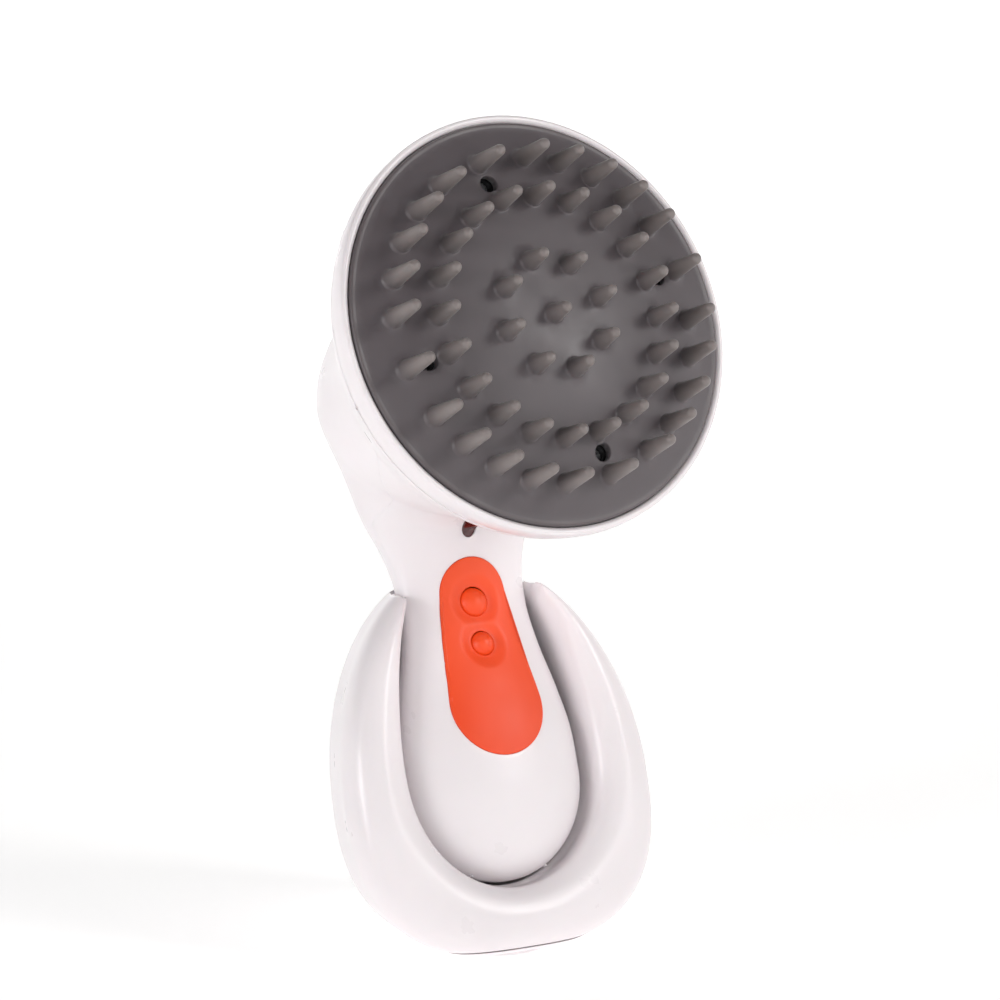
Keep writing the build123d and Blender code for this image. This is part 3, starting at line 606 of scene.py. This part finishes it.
def lens(skin):
    """Oval window, slightly domed, that follows the skin of the throat."""
    place = Frame(STEM.out((0, 0, LENS_H)), -STEM.y)
    rings = []

    def skin_depth(x, h):
        hit = skin.ray_cast(Vector(STEM.out((x, 0, h))), Vector(-STEM.y))[0]
        return -STEM.into(np.array(hit))[1]

    for share, rise in LENS_RINGS:
        loop = circle_loop(0, 0, share, 48) * (LENS_WIDE, LENS_TALL)
        ground = np.array([skin_depth(x, LENS_H + y) for x, y in loop])
        rings.append(place.out(np.column_stack((loop, ground - LENS_SUNK + rise))))
    return capped_tube(rings)


# ---- massage pad and rim
PAD_R, DOME, PAD_T = 45.0, 7.0, 2.4
TINE_TOP, TIP_R, FOOT_R = 13.7, 1.25, 2.75
HOLE_R, HOLE_RING, HOLE_BEVEL = 1.95, 31.2, 0.25
TURN = 15.0                    # turn of the whole pattern
FACE_R, EDGE_COUNT, TINE_COUNT, HOLE_COUNT = 43.7, 180, 22, 24
BEAD = ((44.0, 0.42), (44.4, 0.5), (44.75, 0.36), (44.95, 0.02), (44.98, -2.35), (44.0, -2.42))
# tine's flared foot: radius, height, and how level the ring is
FLARE = ((2.5, 0.07, 0.15), (2.3, 0.2, 0.4), (2.17, 0.45, 0.75), (2.09, 0.85, 1.0))


def polar(radius, angle):
    """Point at a radius and an angle in degrees."""
    return radius * math.cos(math.radians(angle)), radius * math.sin(math.radians(angle))


TINES = [(0.0, 0.0)]
for quarter in (0, 90, 180, 270):
    TINES += [polar(36.1, quarter + part + TURN) for part in (0, 18, 31.5, 45, 58.5, 72)]
TINES += [polar(26.7, 18 * step + TURN) for step in range(20)]
TINES += [polar(12.4, 45 * step + TURN) for step in range(8)]
HOLES = [polar(HOLE_RING, quarter + TURN) for quarter in (0, 90, 180, 270)]


def dome(radius):
    """Height of the pad's face above its edge."""
    return DOME * (1 - (np.asarray(radius) / PAD_R) ** 2)


def tine_rings(x, y, count):
    """Rings of one tine from its flared foot on the dome to its round tip."""
    foot = float(dome(math.hypot(x, y)))
    length = TINE_TOP - foot
    profile = list(FLARE)
    waist, above, _ = FLARE[-1]
    for share in (0.3, 0.6, 1.0):
        height = above + share * (length - TIP_R - above)
        profile.append((waist + share * (TIP_R + 0.02 - waist), height, 1.0))
    for angle in (18, 36, 54, 72, 84):
        a = math.radians(angle)
        profile.append((TIP_R * math.cos(a), length - TIP_R + TIP_R * math.sin(a), 1.0))
    rings = []
    for radius, height, level in profile:
        loop = circle_loop(x, y, radius, count)
        ground = dome(np.hypot(loop[:, 0], loop[:, 1]))
        rings.append(np.column_stack((loop, ground * (1 - level) + foot * level + height)))
    return rings


def within(places, points, radius):
    """Which points lie within a radius of any of the places."""
    return np.any([np.hypot(*(points - place).T) < radius for place in np.array(places)], axis=0)


def band(low, high):
    """Quads between two closed rows of points."""
    count = len(low)
    return [(low[n], low[(n + 1) % count], high[(n + 1) % count], high[n]) for n in range(count)]


def pad():
    """Silicone pad in one skin: domed face, tines, screw holes and edge bead."""
    feet = [circle_loop(x, y, FOOT_R, TINE_COUNT) for x, y in TINES]
    holes = [circle_loop(x, y, HOLE_R + HOLE_BEVEL, HOLE_COUNT) for x, y in HOLES]
    places = np.array(TINES + HOLES)
    sizes = np.array([FOOT_R] * len(TINES) + [HOLE_R + HOLE_BEVEL] * len(HOLES))

    def apart(q):
        return min(FACE_R - math.hypot(*q), (np.hypot(*(places - q).T) - sizes).min())

    flat, faces = filled([circle_loop(0, 0, FACE_R, EDGE_COUNT), *feet, *holes], 1.5, apart)
    middle = np.array([flat[list(face)].mean(0) for face in faces])
    in_hole = within(HOLES, middle, HOLE_R + HOLE_BEVEL)
    in_foot = within(TINES, middle, FOOT_R)
    top = [face for face, hole, foot in zip(faces, in_hole, in_foot) if not hole and not foot]
    under = [face for face, hole in zip(faces, in_hole) if not hole]
    size = len(flat)
    ground = dome(np.hypot(flat[:, 0], flat[:, 1]))
    points = [tuple(p) for p in np.column_stack((flat, ground))]
    points += [tuple(p) for p in np.column_stack((flat, ground - PAD_T))]
    sheet = top + [tuple(reversed([v + size for v in face])) for face in under]

    def add(ring):
        start = len(points)
        points.extend(tuple(p) for p in ring)
        return list(range(start, start + len(ring)))

    start = EDGE_COUNT
    for x, y in TINES:
        row = list(range(start, start + TINE_COUNT))
        for ring in tine_rings(x, y, TINE_COUNT):
            new = add(ring)
            sheet += band(row, new)
            row = new
        tip = add([(x, y, TINE_TOP)])[0]
        sheet += [(a, b, tip) for a, b in zip(row, row[1:] + row[:1])]
        start += TINE_COUNT
    for x, y in HOLES:
        rows = [list(range(start, start + HOLE_COUNT))]
        for radius, fall in ((HOLE_R + 0.07, 0.07), (HOLE_R, HOLE_BEVEL), (HOLE_R, 1.9)):
            loop = circle_loop(x, y, radius, HOLE_COUNT)
            rows.append(add(np.column_stack((loop, dome(np.hypot(loop[:, 0], loop[:, 1])) - fall))))
        rows.append([v + size for v in rows[0]])
        sheet += [face for low, high in zip(rows, rows[1:]) for face in band(low, high)]
        start += HOLE_COUNT
    rows = [list(range(EDGE_COUNT))]
    for radius, z in BEAD:
        loop = circle_loop(0, 0, radius, EDGE_COUNT)
        rows.append(add(np.column_stack((loop, np.full(EDGE_COUNT, z)))))
    rows.append([v + size for v in rows[0]])
    sheet += [face for low, high in zip(rows, rows[1:]) for face in band(low, high)]
    return HEAD.out(np.array(points)), sheet


def rim():
    """Ring round the pad with a rounded lip, and the ledge that carries the pad's plate."""
    ledge, groove, back = -4.6, -5.75, -6.2
    outside = [(45.85, back), (46.1, -6.15), (46.45, -5.0), (46.78, -3.6), (46.98, -2.2), (46.85, -1.1)]
    lip = bend((46.1, -0.5), 0.8, 30, 150, 9)
    inside = [(45.18, -0.3), (45.15, ledge), (43.9, ledge), (43.9, groove), (42.5, groove),
              (42.5, ledge), (41.0, ledge), (41.0, back)]
    return turned(HEAD, outside + lip + inside, 220)


# ---- materials
def tint(red, green, blue):
    """Linear colour from an sRGB one of 0 to 255."""
    parts = [c / 255 for c in (red, green, blue)]
    return (*[c / 12.92 if c <= 0.04045 else ((c + 0.055) / 1.055) ** 2.4 for c in parts], 1.0)


class Paint:
    """A material on the principled shader, with textures laid out in metres on the object."""

    def __init__(self, name, **settings):
        self.material = bpy.data.materials.new(name)
        self.material.use_nodes = True
        self.tree = self.material.node_tree
        self.shader = self.tree.nodes["Principled BSDF"]
        self.place = self.tree.nodes.new("ShaderNodeTexCoord").outputs["Object"]
        self.relief = None
        for key, value in settings.items():
            self.shader.inputs[key.replace("_", " ")].default_value = value

    def noise(self, scale, detail=3.0, stretch=None):
        """Fine or slow noise, by its scale per metre."""
        place = self.place
        if stretch:
            mapping = self.tree.nodes.new("ShaderNodeMapping")
            mapping.inputs["Scale"].default_value = stretch
            self.tree.links.new(place, mapping.inputs["Vector"])
            place = mapping.outputs["Vector"]
        node = self.tree.nodes.new("ShaderNodeTexNoise")
        node.inputs["Scale"].default_value = scale
        node.inputs["Detail"].default_value = detail
        self.tree.links.new(place, node.inputs["Vector"])
        return node.outputs["Fac"]

    def colour(self, value, first, second):
        """Colour that drifts between two tones."""
        ramp = self.tree.nodes.new("ShaderNodeValToRGB")
        ramp.color_ramp.elements[0].position = 0.3
        ramp.color_ramp.elements[1].position = 0.7
        ramp.color_ramp.elements[0].color = first
        ramp.color_ramp.elements[1].color = second
        self.tree.links.new(value, ramp.inputs["Fac"])
        self.tree.links.new(ramp.outputs["Color"], self.shader.inputs["Base Color"])

    def lighten(self, attribute, colour):
        """Mixes in a colour by a named attribute of the mesh's points."""
        where = self.tree.nodes.new("ShaderNodeAttribute")
        where.attribute_name = attribute
        mix = self.tree.nodes.new("ShaderNodeMix")
        mix.data_type = "RGBA"
        ground = self.shader.inputs["Base Color"].links[0].from_socket
        self.tree.links.new(where.outputs["Fac"], mix.inputs["Factor"])
        self.tree.links.new(ground, mix.inputs[6])
        mix.inputs[7].default_value = colour
        self.tree.links.new(mix.outputs[2], self.shader.inputs["Base Color"])

    def rough(self, value, low, high):
        """Roughness that varies between two values."""
        spread = self.tree.nodes.new("ShaderNodeMapRange")
        spread.inputs["From Min"].default_value = 0.3
        spread.inputs["From Max"].default_value = 0.7
        spread.inputs["To Min"].default_value = low
        spread.inputs["To Max"].default_value = high
        self.tree.links.new(value, spread.inputs["Value"])
        self.tree.links.new(spread.outputs["Result"], self.shader.inputs["Roughness"])

    def bump(self, value, depth):
        """Adds relief of a depth in millimetres."""
        node = self.tree.nodes.new("ShaderNodeBump")
        node.inputs["Distance"].default_value = depth * MM
        node.inputs["Strength"].default_value = 1.0
        self.tree.links.new(value, node.inputs["Height"])
        if self.relief:
            self.tree.links.new(self.relief, node.inputs["Normal"])
        self.relief = node.outputs["Normal"]
        self.tree.links.new(self.relief, self.shader.inputs["Normal"])


def moulded(name, first, second, low, high, grain, depth, **settings):
    """Moulded plastic, rubber or paint with a fine spark texture and slow flow of tone."""
    paint = Paint(name, **settings)
    paint.colour(paint.noise(28.0, 4.0), tint(*first), tint(*second))
    paint.rough(paint.noise(90.0, 5.0), low, high)
    paint.bump(paint.noise(60.0, 2.0), depth * 1.5)
    paint.bump(paint.noise(grain, 3.0), depth)
    return paint.material


def worked_metal(name, first, second, low, high, stretch, depth, **settings):
    """Metal with a drawn or turned grain along one axis."""
    paint = Paint(name, Metallic=1.0, **settings)
    grain = paint.noise(260.0, 4.0, stretch)
    paint.colour(paint.noise(70.0, 3.0), tint(*first), tint(*second))
    paint.rough(grain, low, high)
    paint.bump(grain, depth)
    return paint.material


FINISHES = {
    "white_shell": moulded("white_shell", (229, 223, 225), (234, 228, 230), 0.27, 0.36, 1500, 0.0025,
                           Coat_Weight=0.12, Coat_Roughness=0.2, Subsurface_Weight=0.04,
                           Subsurface_Scale=0.002),
    "grey_silicone": moulded("grey_silicone", (77, 70, 73), (86, 79, 82), 0.38, 0.5, 1300, 0.006,
                             Sheen_Weight=0.12, Sheen_Roughness=0.5, Subsurface_Weight=0.06,
                             Subsurface_Scale=0.002),
    "orange_keypad": moulded("orange_keypad", (233, 68, 14), (239, 76, 20), 0.42, 0.52, 1500, 0.004,
                             Subsurface_Weight=0.1, Subsurface_Scale=0.002),
    "orange_key": moulded("orange_key", (234, 69, 14), (240, 77, 20), 0.38, 0.48, 1500, 0.004,
                          Subsurface_Weight=0.1, Subsurface_Scale=0.002),
    "dark_lens": moulded("dark_lens", (66, 20, 22), (88, 28, 28), 0.08, 0.16, 900, 0.001, Coat_Weight=0.6,
                         Coat_Roughness=0.05),
    "black_plastic": moulded("black_plastic", (24, 24, 26), (34, 34, 36), 0.38, 0.55, 1100, 0.01),
    "natural_plastic": moulded("natural_plastic", (205, 200, 188), (218, 213, 202), 0.4, 0.55, 900, 0.008,
                               Subsurface_Weight=0.1, Subsurface_Scale=0.001),
    "black_rubber": moulded("black_rubber", (22, 21, 22), (36, 35, 36), 0.7, 0.88, 1000, 0.02,
                            Sheen_Weight=0.1),
    "steel": worked_metal("steel", (176, 178, 180), (192, 193, 195), 0.22, 0.38, (1, 1, 8), 0.004),
    "motor_steel": worked_metal("motor_steel", (150, 152, 156), (170, 172, 175), 0.3, 0.45, (1, 6, 1),
                                0.004),
    "spring_steel": worked_metal("spring_steel", (138, 140, 142), (160, 161, 163), 0.25, 0.4, (6, 6, 1),
                                 0.003),
    "gold_contact": worked_metal("gold_contact", (222, 176, 92), (236, 194, 112), 0.16, 0.28, (4, 4, 1),
                                 0.002),
    "green_board": moulded("green_board", (22, 74, 44), (30, 92, 54), 0.3, 0.42, 700, 0.01),
    "cell_wrap": moulded("cell_wrap", (34, 62, 128), (42, 74, 146), 0.2, 0.32, 500, 0.006, Coat_Weight=0.3),
    "led_epoxy": moulded("led_epoxy", (206, 58, 50), (222, 78, 66), 0.1, 0.18, 600, 0.001,
                         Subsurface_Weight=0.3, Subsurface_Scale=0.002),
}
silicone = Paint("grey_silicone_pad", Sheen_Weight=0.12, Sheen_Roughness=0.5, Subsurface_Weight=0.06,
                 Subsurface_Scale=0.002)
silicone.rough(silicone.noise(90.0, 5.0), 0.38, 0.5)
silicone.bump(silicone.noise(60.0, 2.0), 0.009)
silicone.bump(silicone.noise(1300, 3.0), 0.006)
silicone.colour(silicone.noise(28.0, 4.0), tint(79, 72, 75), tint(88, 81, 84))
# painted light: the tines are painted lighter up towards their tips, standing in for the light that falls on their
# sides
silicone.lighten("tine_painted_light", tint(122, 114, 112))

for part in frame["record"]["subparts"]:
    item = frame["nodes"][part["node"]]
    item.data.materials.clear()
    item.data.materials.append(FINISHES[part["material_slot"]])


def show(name, shape, body, slot, *nodes):
    """Put a piece in place of CAD nodes, riding on their body with the finish of their slot."""
    piece = make_object(name, *shape)
    piece.data.materials.append(FINISHES[slot])
    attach(piece, body)
    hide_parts(*nodes)
    return piece


# ---- pieces of the massager
def behind_rim(points):
    """Distance behind the rim, and its direction."""
    return -HEAD.into(points)[:, 2] + RIM_BACK - 0.05, np.tile(-HEAD.z, (len(points), 1))


def front_side(points):
    """Distance into the front housing, and its direction."""
    level, way = parting_distance(points)
    return level - PART_GAP / 2, way


def rear_side(points):
    """Distance into the rear housing, and its direction."""
    level, way = parting_distance(points)
    return -level - PART_GAP / 2, -way


def round_hole(x, h, radius):
    """Outline of a round hole."""
    def shape(px, ph):
        return np.hypot(px - x, ph - h) - radius
    return shape


def oval_hole(px, ph):
    """Outline of the indicator's window."""
    return (np.hypot(px / LENS_WIDE, (ph - LENS_H) / LENS_TALL) - 1) * LENS_WIDE


HOUSING_SCREWS = [(15.2, 24.0), (-15.2, 24.0), (11.8, 76.0), (-11.8, 76.0)]
SCREW_SEAT_Y, SCREW_HOLE_R, WELL_R, SHANK_R, WELL_T = 4.0, 2.4, 2.9, 1.3, 1.5
CONTACTS_X, CONTACTS_H, CONTACT_HOLE_R = (-6.0, 6.0), 30.0, 2.5

skin = massager_skin()
tree = BVHTree.FromPolygons([Vector(p) for p in skin[0]], skin[1])


def screw_well(x, h):
    """Tube from just under the skin down to the seat of a housing screw."""
    ring = circle_loop(x, h, WELL_R, 12)
    starts = [Vector(STEM.out((px, SCREW_SEAT_Y, ph))) for px, ph in ring]
    top = min(tree.ray_cast(start, Vector(STEM.y))[3] for start in starts) - 0.4
    profile = [(SCREW_HOLE_R, top), (SCREW_HOLE_R, 0), (SHANK_R, 0), (SHANK_R, -WELL_T),
               (WELL_R, -WELL_T), (WELL_R, top)]
    return turned(Frame(STEM.out((x, SCREW_SEAT_Y, h)), STEM.y), profile, 40)


housing = cut(*skin, behind_rim)
front = cut(*housing, front_side)
front = cut(*front, flat_cut(capsule, -1, KEYPAD_HOLE_GAP))
front = cut(*front, flat_cut(oval_hole, -1, 0.06))
show("front_shell", shell(*front, SKIN, PART_LIP), "massager", "white_shell", "front_housing")

rear = cut(*housing, rear_side)
for x, h in HOUSING_SCREWS:
    rear = cut(*rear, flat_cut(round_hole(x, h, SCREW_HOLE_R), 1))
for x in CONTACTS_X:
    rear = cut(*rear, flat_cut(round_hole(x, CONTACTS_H, CONTACT_HOLE_R), 1))
wells = [screw_well(x, h) for x, h in HOUSING_SCREWS]
show("rear_shell", merged(shell(*rear, SKIN, PART_LIP), *wells), "massager", "white_shell", "rear_housing")

show("pad_ring", rim(), "massager", "white_shell", "head_rim")
tine_pad = show("tine_pad", pad(), "massager", "grey_silicone", "massage_pad")
tine_pad.data.materials[0] = silicone.material
# painted light: each point's height above the dome, as a share of the middle tine's length, paints the tines
# lighter towards their tips as if lit
spot = HEAD.into(read_mesh(tine_pad.data)[0])
rise = (spot[:, 2] - dome(np.hypot(spot[:, 0], spot[:, 1]))) / (TINE_TOP - DOME)
tine_painted_light = tine_pad.data.attributes.new("tine_painted_light", "FLOAT", "POINT")
tine_painted_light.data.foreach_set("value", np.clip(rise, 0, 1) ** 0.6)
show("keypad", keypad(), "massager", "orange_keypad", "keypad_overlay")
show("status_window", lens(tree), "massager", "dark_lens", "indicator_lens")
for key in KEY_H:
    show(key + "_cap", button(key), key, "orange_key", key)


# ---- pieces of the dock
def softened(node, voxel=0.6, rounds=7):
    """Even, softly rounded mesh of a CAD node."""
    points, faces = read_mesh(remeshed(frame["nodes"][node].data.copy(), voxel))
    points = relaxed(points, faces, np.ones(len(points)), rounds)
    return even_out(points, faces, 6), faces


show("ring_front", softened("dock_front_shell"), "dock", "white_shell", "dock_front_shell")
show("ring_back", softened("dock_rear_shell"), "dock", "white_shell", "dock_rear_shell")

# ---- studio
FLOOR_R, FLOOR_BEND, WALL, FLOOR_T = 2400.0, 500.0, 1100.0, 10
NEAR_FLOOR = 900
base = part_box("dock_sole")[0].z / MM
profile = [(0, 0)] + [(r, 0) for r in (300, NEAR_FLOOR, FLOOR_R - FLOOR_BEND)]
profile += bend((FLOOR_R - FLOOR_BEND, FLOOR_BEND), FLOOR_BEND, -80, 0, 10) + [(FLOOR_R, WALL)]
profile += [(FLOOR_R + FLOOR_T, WALL), (FLOOR_R + FLOOR_T, -FLOOR_T), (0, -FLOOR_T)]
floor = make_object("studio_floor", *turned(Frame((0, 0, base), (0, 0, 1)), profile, 96))
for name, glow in (("studio_white", 0.47), ("studio_far", 0.66)):
    backdrop = Paint(name, Roughness=0.8, Emission_Strength=glow)
    backdrop.shader.inputs["Emission Color"].default_value = (1, 1, 1, 1)
    backdrop.colour(backdrop.noise(3.0), tint(244, 243, 242), tint(248, 247, 247))
    floor.data.materials.append(backdrop.material)
for face in floor.data.polygons:
    face.material_index = int(math.hypot(face.center.x, face.center.y) > NEAR_FLOOR * MM)

AIM = Vector((0, -0.005, 0.085))


def soft_light(name, place, size, power, colour=(1, 1, 1)):
    """Round area light that looks at the object."""
    data = bpy.data.lights.new(name, "AREA")
    data.shape = "DISK"
    data.size = size
    data.energy = power
    data.color = colour
    light = bpy.data.objects.new(name, data)
    light.location = place
    light.rotation_euler = (AIM - Vector(place)).to_track_quat("-Z", "Y").to_euler()
    bpy.context.scene.collection.objects.link(light)


soft_light("key", (0.82, -1.15, 0.86), 0.5, 7.2, (1.0, 0.985, 0.975))
soft_light("fill", (-1.35, -0.42, 0.38), 0.5, 4.6, (0.99, 0.985, 1.0))
soft_light("top", (0.1, 0.3, 1.6), 1.0, 2.4)
soft_light("behind", (0.6, 1.3, 0.7), 0.9, 2.4)

world = bpy.data.worlds.new("studio")
world.use_nodes = True
world.node_tree.nodes["Background"].inputs["Color"].default_value = (1, 1, 1, 1)
world.node_tree.nodes["Background"].inputs["Strength"].default_value = 0.08
bpy.context.scene.world = world
bpy.context.scene.view_settings.view_transform = "Standard"

# ---- camera: 30 degrees round to the left of the front, 8 degrees above
CAMERA_FAR, CAMERA_LEFT, CAMERA_LOW = 0.7, 0.008146, 0.03813   # from the centre of the face
RIGHT = Vector((0.8643, -0.5030, 0.0))
UP = Vector((0.0700, 0.1203, 0.9903))
BACK = RIGHT.cross(UP).normalized()
camera_data = bpy.data.cameras.new("camera")
camera_data.lens = 117.3
camera_data.clip_end = 20
camera = bpy.data.objects.new("camera", camera_data)
camera.matrix_world = Matrix((RIGHT, UP, BACK)).transposed().to_4x4()
face_centre = Vector(HEAD.origin * MM)
camera.location = face_centre + CAMERA_FAR * BACK - CAMERA_LEFT * RIGHT - CAMERA_LOW * UP
bpy.context.scene.collection.objects.link(camera)
bpy.context.scene.camera = camera
